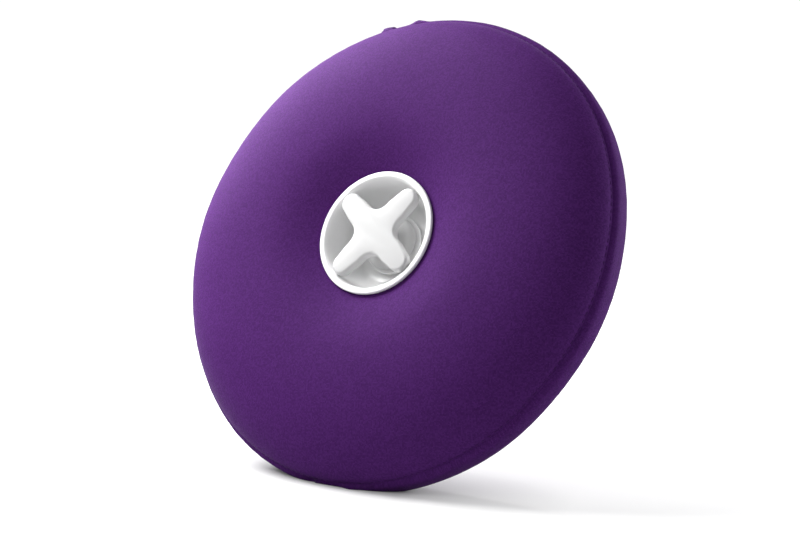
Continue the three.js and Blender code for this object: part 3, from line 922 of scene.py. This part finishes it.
# %% Make the flaps
OUTER_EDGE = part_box("cover_back_outer_flap")[0].x
INNER_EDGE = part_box("cover_back_inner_flap")[1].x
TUCK, TUCK_SHARE = 1.35 * MM, 0.45
TUCK_START, TUCK_END = OUTER_EDGE - 7 * MM, OUTER_EDGE - 1 * MM
RIDGE_HEIGHT, RIDGE_HALF_WIDTH, RIDGE_INSET = 0.5 * MM, 4.5 * MM, 2 * MM
RIM_RIDGE, RIM_LOW, RIM_HIGH, RIM_REACH = 1.4 * MM, 6 * MM, 14 * MM, 100 * MM
ABOVE_ALL, MIDDLE_REACH = 40 * MM, 20 * MM

back_rows = fine_grid[SEAM_ROW:]
back_normals = fine_normals[SEAM_ROW:]


def smooth_step(low, high, values):
    t = np.clip((values - low) / (high - low), 0, 1)
    return t * t * (3 - 2 * t)


def tucked_rows():
    """The back's grid as the inner flap has it: one layer further in along the overlap."""
    reach = smooth_step(TUCK_START, TUCK_END, back_rows[:, :, 0])
    depth = TUCK * (TUCK_SHARE + (1 - TUCK_SHARE) * reach)
    return back_rows - back_normals * depth[:, :, None]


def ridged_rows():
    """The back's grid as the outer flap has it: raised over the binding that it covers."""
    x, y, z = np.moveaxis(back_rows, 2, 0)
    across = np.exp(-((x - INNER_EDGE + RIDGE_INSET) / RIDGE_HALF_WIDTH) ** 2)
    at_rim = smooth_step(RIM_LOW, RIM_HIGH, z) * (np.abs(y) > RIM_REACH)
    height = across * (RIDGE_HEIGHT + RIM_RIDGE * at_rim)
    return back_rows + back_normals * height[:, :, None]


def cut_sheet(obj, x, keep_above):
    """Cuts a sheet along the plane of one x and returns the points of the cut, in order."""
    with mesh_edit(obj) as mesh:
        parts = bmesh.ops.bisect_plane(
            mesh, geom=[*mesh.verts, *mesh.edges, *mesh.faces], plane_co=(x, 0, 0),
            plane_no=(1, 0, 0), clear_inner=keep_above, clear_outer=not keep_above,
        )["geom_cut"]
        edge = [v.co.copy() for v in parts if isinstance(v, bmesh.types.BMVert)]
    return sorted(edge, key=lambda p: math.atan2(p.y, ABOVE_ALL - p.z))


def close_middle(obj):
    """Fills the small hole left round the axis."""
    with mesh_edit(obj) as mesh:
        ring = [e for e in mesh.edges
                if e.is_boundary and max(v.co.xy.length for v in e.verts) < MIDDLE_REACH]
        bmesh.ops.holes_fill(mesh, edges=ring)
        bmesh.ops.recalc_face_normals(mesh, faces=mesh.faces)


def flap(name, rows, x, keep_above):
    tuck = turned_in(rows[0], SEAM_TUCK, BACK_TUCK_RISE)[::-1]
    obj = sheet_object(name, np.concatenate((tuck, rows)))
    close_middle(obj)
    edge = cut_sheet(obj, x, keep_above)
    thicken(obj, FABRIC)
    add_cloth_map(obj, polar_place(even_steps(back_line(), MAP_STEPS)[::-1], 0))
    finish_piece(obj, knit_fabric, "root", "knit", name + "_flap")
    return obj, edge


outer_flap, outer_edge = flap("cover_back_outer", ridged_rows(), OUTER_EDGE, True)
inner_flap, inner_edge = flap("cover_back_inner", tucked_rows(), INNER_EDGE, False)
print(f"outer edge {len(outer_edge)} points, inner edge {len(inner_edge)} points")

# %% [markdown]
# ## Bindings
#
# Each flap's edge, and the edge of the round hole, is bound with a narrow tape folded over it. A
# tape is a rounded section swept along its edge. Where the outer flap's tape runs up over the rim
# and into the seam at the top, it is folded double and stands proud.

# %% Helpers for swept tapes
TAPE_OVERHANG, TAPE_SMOOTH_ANGLE = 0.4 * MM, 50


def running_length(path):
    steps = [(b - a).length for a, b in zip(path, path[1:])]
    return np.concatenate(([0], np.cumsum(steps)))


def resample(path, spacing):
    """Points along a path at even spacing."""
    travelled = running_length(path)
    count = max(int(round(travelled[-1] / spacing)), 2)
    wanted = np.linspace(0, travelled[-1], count + 1)
    columns = [np.interp(wanted, travelled, [p[k] for p in path]) for k in range(3)]
    return [Vector(p) for p in zip(*columns)]


def tape_section(width, above, below, steps=7):
    """The rounded outline of a folded tape: across its width, and above and below the cloth."""
    middle, half = (above - below) / 2, (above + below) / 2
    outline = []
    for centre, start in ((width - half, -math.pi / 2), (half, math.pi / 2)):
        for k in range(steps + 1):
            angle = start + k / steps * math.pi
            outline.append((centre + half * math.cos(angle), middle + half * math.sin(angle)))
    return outline


def outward_at(path, i, side):
    """The direction out of the cushion at one point of a path, square to the path and to side."""
    along = (path[min(i + 1, len(path) - 1)] - path[max(i - 1, 0)]).normalized()
    outward = along.cross(side).normalized()
    return -outward if outward.dot(path[i] - middle) < 0 else outward


def swept_tape(name, path, side, width, below, above_at):
    """A closed tape along a path. Side is the direction its width runs, and above_at its height."""
    vertices = []
    last = len(path) - 1
    for i, point in enumerate(path):
        outward = outward_at(path, i, side)
        section = tape_section(width, above_at(i / last), below)
        edge = point - side * TAPE_OVERHANG
        vertices += [edge + side * across + outward * up for across, up in section]
    count = len(section)
    ends = [tuple(range(count)), tuple(range(last * count, (last + 1) * count))]
    obj = mesh_object(name, vertices, grid_faces(len(path), count) + ends, TAPE_SMOOTH_ANGLE)
    face_outwards(obj)
    return obj


# %% Bind the flaps
BINDING_WIDTH, BINDING_STEP = 9.0 * MM, 1.5 * MM
BINDING_ABOVE, BINDING_BELOW, INNER_ABOVE = 0.7 * MM, 1.7 * MM, 0.35 * MM
FOLD_ABOVE, FOLD_LENGTH = 3.6 * MM, 0.12
OUTER_SIDE, INNER_SIDE = Vector((1, 0, 0)), Vector((-1, 0, 0))


def folded_end(t):
    """Height of the outer tape: low along the back, and doubled where it enters the upper seam."""
    end = (1 - t) / FOLD_LENGTH
    doubled = float(smooth_step(0, 1, np.array(1 - end)))
    return BINDING_ABOVE + (FOLD_ABOVE - BINDING_ABOVE) * doubled


outer_path, inner_path = (resample(edge, BINDING_STEP) for edge in (outer_edge, inner_edge))
for name, path, side, above_at in (
    ("outer_flap", outer_path, OUTER_SIDE, folded_end),
    ("inner_flap", inner_path, INNER_SIDE, lambda t: INNER_ABOVE),
):
    tape = swept_tape(name + "_tape", path, side, BINDING_WIDTH, BINDING_BELOW, above_at)
    add_cloth_map(tape, lambda p: (p.x + p.z, p.y))
    finish_piece(tape, binding_fabric, "root", "binding_tape", name + "_binding")
    print(f"{tape.name}: {running_length(path)[-1]:.3f} m")

# %% Bind the round hole
HOLE_TAPE_RADIUS, HOLE_TAPE_DROP, HOLE_TAPE_STEPS = 0.9 * MM, 0.3 * MM, 16
hole_ring = [
    (HOLE_RADIUS + HOLE_TAPE_RADIUS * math.cos(a),
     HOLE_Z - HOLE_TAPE_DROP + HOLE_TAPE_RADIUS * math.sin(a))
    for a in np.linspace(0, 2 * math.pi, HOLE_TAPE_STEPS, endpoint=False)
]
hole_tape = turned_piece("filler_hole_tape", hole_ring)
add_cloth_map(hole_tape, lambda p: (math.atan2(p.y, p.x) * HOLE_RADIUS, p.z))
finish_piece(hole_tape, binding_fabric, "root", "binding_tape", "filler_hole_binding")

# %% [markdown]
# ## Stitches
#
# Stitches repeat along a line, which is what Geometry Nodes are for. One tree takes a curve, puts a
# point on it every stitch, turns a short rounded piece of thread along the line there, and makes
# the copies real. The seam and both flap tapes use the same tree with their own spacing.

# %% Build the stitch tree
GEOMETRY, THREAD_SEGMENTS, THREAD_RINGS = "NodeSocketGeometry", 8, 6


def stitch_tree():
    tree = bpy.data.node_groups.new("stitches", "GeometryNodeTree")
    for label, kind in (
        ("Line", GEOMETRY), ("Spacing", NUMBER), ("Stitch Length", NUMBER),
        ("Thread Radius", NUMBER), ("Thread", "NodeSocketMaterial"),
    ):
        tree.interface.new_socket(label, in_out="INPUT", socket_type=kind)
    tree.interface.new_socket("Stitches", in_out="OUTPUT", socket_type=GEOMETRY)
    entry, leave = add_node(tree, "NodeGroupInput"), add_node(tree, "NodeGroupOutput")
    points = add_node(tree, "GeometryNodeCurveToPoints", mode="LENGTH")
    align = add_node(tree, "FunctionNodeAlignRotationToVector", axis="X")
    half = add_node(tree, "ShaderNodeMath", {1: 0.5}, operation="MULTIPLY")
    size = add_node(tree, "ShaderNodeCombineXYZ")
    ball = add_node(tree, "GeometryNodeMeshUVSphere", {
        "Segments": THREAD_SEGMENTS, "Rings": THREAD_RINGS, "Radius": 1,
    })
    soft = add_node(tree, "GeometryNodeSetShadeSmooth")
    copies = add_node(tree, "GeometryNodeInstanceOnPoints")
    real = add_node(tree, "GeometryNodeRealizeInstances")
    paint = add_node(tree, "GeometryNodeSetMaterial")
    wire(
        tree,
        (entry, "Line", points, "Curve"), (entry, "Spacing", points, "Length"),
        (entry, "Stitch Length", half, 0), (half, 0, size, "X"),
        (entry, "Thread Radius", size, "Y"), (entry, "Thread Radius", size, "Z"),
        (points, "Tangent", align, "Vector"), (ball, "Mesh", soft, "Geometry"),
        (points, "Points", copies, "Points"), (align, "Rotation", copies, "Rotation"),
        (soft, "Geometry", copies, "Instance"), (size, "Vector", copies, "Scale"),
        (copies, "Instances", real, "Geometry"), (real, "Geometry", paint, "Geometry"),
        (entry, "Thread", paint, "Material"), (paint, "Geometry", leave, "Stitches"),
    )
    return tree


stitches_tree = stitch_tree()


def stitch_row(name, path, cyclic, spacing, length, radius):
    """A row of stitches along a path, as a plain mesh."""
    curve = bpy.data.curves.new(name + "_line", "CURVE")
    curve.dimensions = "3D"
    spline = curve.splines.new("POLY")
    spline.points.add(len(path) - 1)
    for spot, point in zip(spline.points, path):
        spot.co = (*point, 1)
    spline.use_cyclic_u = cyclic
    line = bpy.data.objects.new(name + "_line", curve)
    bpy.context.scene.collection.objects.link(line)
    modifier = line.modifiers.new("Stitches", "NODES")
    modifier.node_group = stitches_tree
    values = {
        "Spacing": spacing, "Stitch Length": length, "Thread Radius": radius,
        "Thread": thread_fabric,
    }
    for item in stitches_tree.interface.items_tree:
        if item.in_out == "INPUT" and item.name in values:
            modifier[item.identifier] = values[item.name]
    bpy.context.view_layer.update()
    shaped = line.evaluated_get(bpy.context.evaluated_depsgraph_get())
    mesh = bpy.data.meshes.new_from_object(shaped)
    bpy.data.objects.remove(line)
    obj = bpy.data.objects.new(name, mesh)
    bpy.context.scene.collection.objects.link(obj)
    finish_piece(obj, thread_fabric, "root", "binding_tape")
    print(name, len(mesh.polygons), "faces")
    return obj


# %% Sew the seam and the tapes
SEAM_SPACING, SEAM_STITCH, SEAM_THREAD = 4.4 * MM, 2.9 * MM, 0.26 * MM
TAPE_SPACING, TAPE_STITCH, TAPE_THREAD = 3.0 * MM, 2.1 * MM, 0.25 * MM
STITCH_LIFT, TAPE_MIDDLE, SEWN_BELOW = 0.05 * MM, 4.2 * MM, 8 * MM

seam_line = fine_grid[SEAM_ROW - 1] + fine_normals[SEAM_ROW - 1] * STITCH_LIFT
stitch_row(
    "seam_stitches", [Vector(p) for p in seam_line], True, SEAM_SPACING, SEAM_STITCH, SEAM_THREAD,
)
flat_part = [p for p in outer_path if p.z < SEWN_BELOW]
tape_line = [
    point + OUTER_SIDE * TAPE_MIDDLE + outward_at(flat_part, i, OUTER_SIDE) * BINDING_ABOVE
    for i, point in enumerate(flat_part)
]
stitch_row("outer_tape_stitches", tape_line, False, TAPE_SPACING, TAPE_STITCH, TAPE_THREAD)

# %% [markdown]
# ## Filler funnel
#
# A white bowl with a rounded lip that rests on the fabric. The lip rolls over softly into a wall
# that is steep at the top and then turns into the flat floor that the neck stands in.

# %% Make the funnel
NECK_HOLE, BOWL_FLOOR = 16.4, 17.8
BOWL_WALL, LIP_THICKNESS = 1.5, 2.4
BOWL_CORNERS = (
    (18.4, 17.8), (21.5, 18.0), (25.0, 19.2), (28.4, 22.2), (31.2, 27.0), (33.2, 33.0),
    (34.0, 37.2), (34.5, 40.0), (35.1, 41.8), (36.0, 42.9),
)
BOWL_STEPS, FUNNEL_SMOOTH_ANGLE = 5, 40


def bowl_lines():
    """The inside of the bowl from the floor up, and its outside one wall away, in millimetres."""
    inside = smooth_line([np.array(corner) for corner in BOWL_CORNERS], BOWL_STEPS)
    along = np.gradient(inside, axis=0)
    across = np.stack((along[:, 1], -along[:, 0]), axis=1)
    across /= np.linalg.norm(across, axis=1, keepdims=True)
    return inside, inside + across * BOWL_WALL


def funnel_profile():
    lip_top, lip_edge = LIP_Z / MM, LIP_RADIUS / MM
    lip_bottom = lip_top - LIP_THICKNESS
    inside, outside = bowl_lines()
    outside = [(radius, z, 0) for radius, z in outside if z < lip_bottom - 1]
    return rounded([
        (NECK_HOLE, BOWL_FLOOR, 0.3), *[(radius, z, 0) for radius, z in inside],
        (lip_edge, lip_top, 1.2), (lip_edge, lip_bottom, 0.7),
        (outside[-1][0] + 0.3, lip_bottom, 0.4), *outside[::-1],
        (NECK_HOLE, BOWL_FLOOR - BOWL_WALL, 0.3),
    ])


funnel = turned_piece("funnel", funnel_profile(), smooth_angle=FUNNEL_SMOOTH_ANGLE)
finish_piece(funnel, funnel_plastic, "root", "funnel_plastic", "filler_funnel")
print("funnel:", len(funnel.data.polygons), "faces")

# %% [markdown]
# ## Threads
#
# The neck carries a ridge that climbs round the inside of its bore, and the plug one round its
# outside, half a turn's lift away, so that each runs in the other's groove. A ridge is a small
# trapezoid carried along a helix, tapered to nothing at both ends and joined to its body.

# %% Helpers for threads
PITCH = 5.0
RIDGE_ROOT, RIDGE_CREST, RIDGE_EMBEDDING = 0.95, 0.55, 0.6
THREAD_STEPS = 96
TAPER_TURN, TAPER_START = 0.06, 0.35


def helical_ridge(name, root, crest, start, turns):
    """A ridge from a root radius to a crest radius, both in millimetres."""
    vertices = []
    steps = round(turns * THREAD_STEPS)
    for i in range(steps + 1):
        turn = i / THREAD_STEPS
        angle, climb = turn * 2 * math.pi, start + turn * PITCH
        rise = math.sin(min(1.0, min(turn, turns - turn) / TAPER_TURN) * math.pi / 2)
        tip = root + (crest - root) * (TAPER_START + (1 - TAPER_START) * rise)
        for radius, half in (
            (root, -RIDGE_ROOT), (tip, -RIDGE_CREST), (tip, RIDGE_CREST), (root, RIDGE_ROOT),
        ):
            place = (radius * math.cos(angle), radius * math.sin(angle), climb + half)
            vertices.append(Vector(place) * MM)
    ends = [(0, 1, 2, 3), tuple(range(4 * steps, 4 * steps + 4))]
    ridge = mesh_object(name, vertices, grid_faces(steps + 1, 4) + ends)
    face_outwards(ridge)
    return ridge


def join_solids(body, other, smooth_angle=SMOOTH_ANGLE):
    """Joins a second solid into the first and removes the second."""
    modifier = body.modifiers.new("Join", "BOOLEAN")
    modifier.operation = "UNION"
    modifier.solver = "EXACT"
    modifier.object = other
    apply_modifiers(body)
    bpy.data.objects.remove(other)
    body.data.set_sharp_from_angle(angle=math.radians(smooth_angle))
    return body


# %% Make the neck
BORE, SOCKET_RADIUS, COLLAR_BOTTOM = 13.2, 15.9, 19.2
FEMALE_CREST, FEMALE_START, FEMALE_TURNS = 11.8, 11.5, 1.55
socket_bottom, socket_top, collar_radius = socket_low.z / MM, COLLAR_Z / MM, COLLAR_RADIUS / MM
socket = turned_piece("neck", rounded([
    (BORE, socket_bottom, 0.3), (SOCKET_RADIUS, socket_bottom, 0.3),
    (SOCKET_RADIUS, COLLAR_BOTTOM, 0.2), (collar_radius, COLLAR_BOTTOM, 0.3),
    (collar_radius, socket_top, 0.7), (BORE, socket_top, 0.6),
], steps=4))
join_solids(socket, helical_ridge(
    "female_ridge", BORE + RIDGE_EMBEDDING, FEMALE_CREST, FEMALE_START, FEMALE_TURNS,
))
finish_piece(socket, funnel_plastic, "root", "funnel_plastic", "neck_socket")
print("neck:", len(socket.data.polygons), "faces")

# %% [markdown]
# ## Stopper
#
# Three pieces: a domed hub with the threaded plug under it, a rubber washer that lifts with the
# stopper but doesn't turn, and the grip. The grip is a flat cross of four tapered arms with round
# tips, on a short stem that is pressed into the hub.

# %% Make the plug and the washer
PLUG_RADIUS, PLUG_BORE, PLUG_BORE_TOP = 11.3, 7.6, 21.5
HUB_BOTTOM, HUB_EDGE_Z, HUB_TOP_RADIUS, HUB_DOME_STEPS = 23.0, 23.8, 9.5, 20
SPIGOT_HOLE, SPIGOT_END = 5.35, 24.65
MALE_CREST, MALE_START, MALE_TURNS = 12.8, 14.0, 1.2
WASHER_INNER, WASHER_SECTORS = 11.65, 96
plug_bottom, plug_top, hub_radius = plug_low.z / MM, plug_high.z / MM, HUB_RADIUS / MM
hub_dome = [
    (HUB_TOP_RADIUS + (hub_radius - HUB_TOP_RADIUS) * math.cos(a),
     HUB_EDGE_Z + (plug_top - HUB_EDGE_Z) * math.sin(a), 0)
    for a in np.linspace(0, math.pi / 2, HUB_DOME_STEPS + 1)
]
plug = turned_piece("plug", rounded([
    (PLUG_BORE, plug_bottom, 0.4), (PLUG_RADIUS, plug_bottom, 0.6),
    (PLUG_RADIUS, HUB_BOTTOM, 0.2), (hub_radius, HUB_BOTTOM, 0.5), *hub_dome,
    (SPIGOT_HOLE, plug_top, 0.2), (SPIGOT_HOLE, SPIGOT_END, 0), (0, SPIGOT_END, 0),
    (0, PLUG_BORE_TOP, 0), (PLUG_BORE, PLUG_BORE_TOP, 0.4),
], steps=4))
join_solids(plug, helical_ridge(
    "male_ridge", PLUG_RADIUS - RIDGE_EMBEDDING, MALE_CREST, MALE_START, MALE_TURNS,
))
finish_piece(plug, stopper_plastic, "stopper", "stopper_plastic", "stopper_plug")

washer_outer = washer_high.x / MM
washer_bottom, washer_top = washer_low.z / MM, washer_high.z / MM
washer = turned_piece("washer", rounded([
    (WASHER_INNER, washer_bottom, 0.2), (washer_outer, washer_bottom, 0.4),
    (washer_outer, washer_top, 0.4), (WASHER_INNER, washer_top, 0.2),
], steps=4), WASHER_SECTORS)
finish_piece(washer, seal_rubber, "seal", "seal_rubber", "stopper_washer")
print("plug:", len(plug.data.polygons), "faces, washer:", len(washer.data.polygons), "faces")

# %% Make the grip
GRIP_THICKNESS, GRIP_EDGE, GRIP_EDGE_STEPS, GRIP_EDGE_ANGLE = 6.0, 1.6, 5, 60
GRIP_SMOOTH_ANGLE = 50
ARM_REACH, ARM_TIP, ARM_HALF_WIDTH, ARM_ROOT, ARM_CORNER = 34.2, 6.6, 7.8, 19.0, 7.02
STEM_SPIGOT, STEM_FOOT, STEM_WAIST, STEM_TOP = 5, 8.5, 8.7, 10.2
STEM_GAP, STEM_FLARE, STEM_EMBEDDING = 0.35, 1.5, 1
TIP_STEPS, CORNER_STEPS = 28, 20


def arm_place(heading, reach, side):
    return Vector((
        reach * math.cos(heading) - side * math.sin(heading),
        reach * math.sin(heading) + side * math.cos(heading),
    ))


def cross_outline():
    """The outline of the four arms, in millimetres, counterclockwise."""
    points = []
    for arm in range(4):
        heading = math.pi / 4 + arm * math.pi / 2
        following = heading + math.pi / 2
        tip = arm_place(heading, ARM_REACH - ARM_TIP, 0)
        for angle in np.linspace(-math.pi / 2, math.pi / 2, TIP_STEPS + 1):
            spoke = heading + angle
            points.append(tip + Vector((math.cos(spoke), math.sin(spoke))) * ARM_TIP)
        first = arm_place(heading, ARM_ROOT, ARM_HALF_WIDTH)
        last = arm_place(following, ARM_ROOT, -ARM_HALF_WIDTH)
        corner = arm_place(heading, ARM_CORNER, ARM_CORNER)
        for t in np.linspace(0, 1, CORNER_STEPS + 1):
            points.append(first * (1 - t) ** 2 + corner * 2 * t * (1 - t) + last * t ** 2)
    return points


def grip_plate():
    top, bottom = GRIP_Z, GRIP_Z - GRIP_THICKNESS * MM
    outline = cross_outline()
    count = len(outline)
    vertices = [(*(p * MM), z) for z in (bottom, top) for p in outline]
    faces = [tuple(range(count))[::-1], tuple(range(count, 2 * count))]
    faces += [(i, (i + 1) % count, count + (i + 1) % count, count + i) for i in range(count)]
    plate = mesh_object("grip", vertices, faces)
    edge = plate.modifiers.new("Edge", "BEVEL")
    edge.width = GRIP_EDGE * MM
    edge.segments = GRIP_EDGE_STEPS
    edge.limit_method = "ANGLE"
    edge.angle_limit = math.radians(GRIP_EDGE_ANGLE)
    return apply_modifiers(plate)


def grip_stem():
    foot, shoulder = grip_low.z / MM, plug_high.z / MM + STEM_GAP
    plate_bottom = GRIP_Z / MM - GRIP_THICKNESS
    top = plate_bottom + STEM_EMBEDDING
    return turned_piece("stem", rounded([
        (0, foot, 0), (STEM_SPIGOT, foot, 0.4), (STEM_SPIGOT, shoulder, 0.1),
        (STEM_FOOT, shoulder, 0.3), (STEM_WAIST, plate_bottom - STEM_FLARE, 1.0),
        (STEM_TOP, top, 0), (0, top, 0),
    ], steps=5))


grip = join_solids(grip_plate(), grip_stem(), GRIP_SMOOTH_ANGLE)
finish_piece(grip, stopper_plastic, "stopper", "stopper_plastic", "stopper_grip")
print("grip:", len(grip.data.polygons), "faces")

# %% [markdown]
# ## Hidden pieces
#
# The bladder, the ring at its mouth, the gasket and the ring nut stay as the CAD made them, because
# only their finish is missing.

# %% Finish the carried-over nodes
for node, material in (
    ("bladder_front_shell", bladder_sheet), ("bladder_back_shell", bladder_sheet),
    ("bladder_mouth_ring", inner_plastic), ("neck_gasket", seal_rubber),
    ("neck_ring_nut", inner_plastic),
):
    for slot in bpy.data.objects[node].material_slots:
        slot.material = material
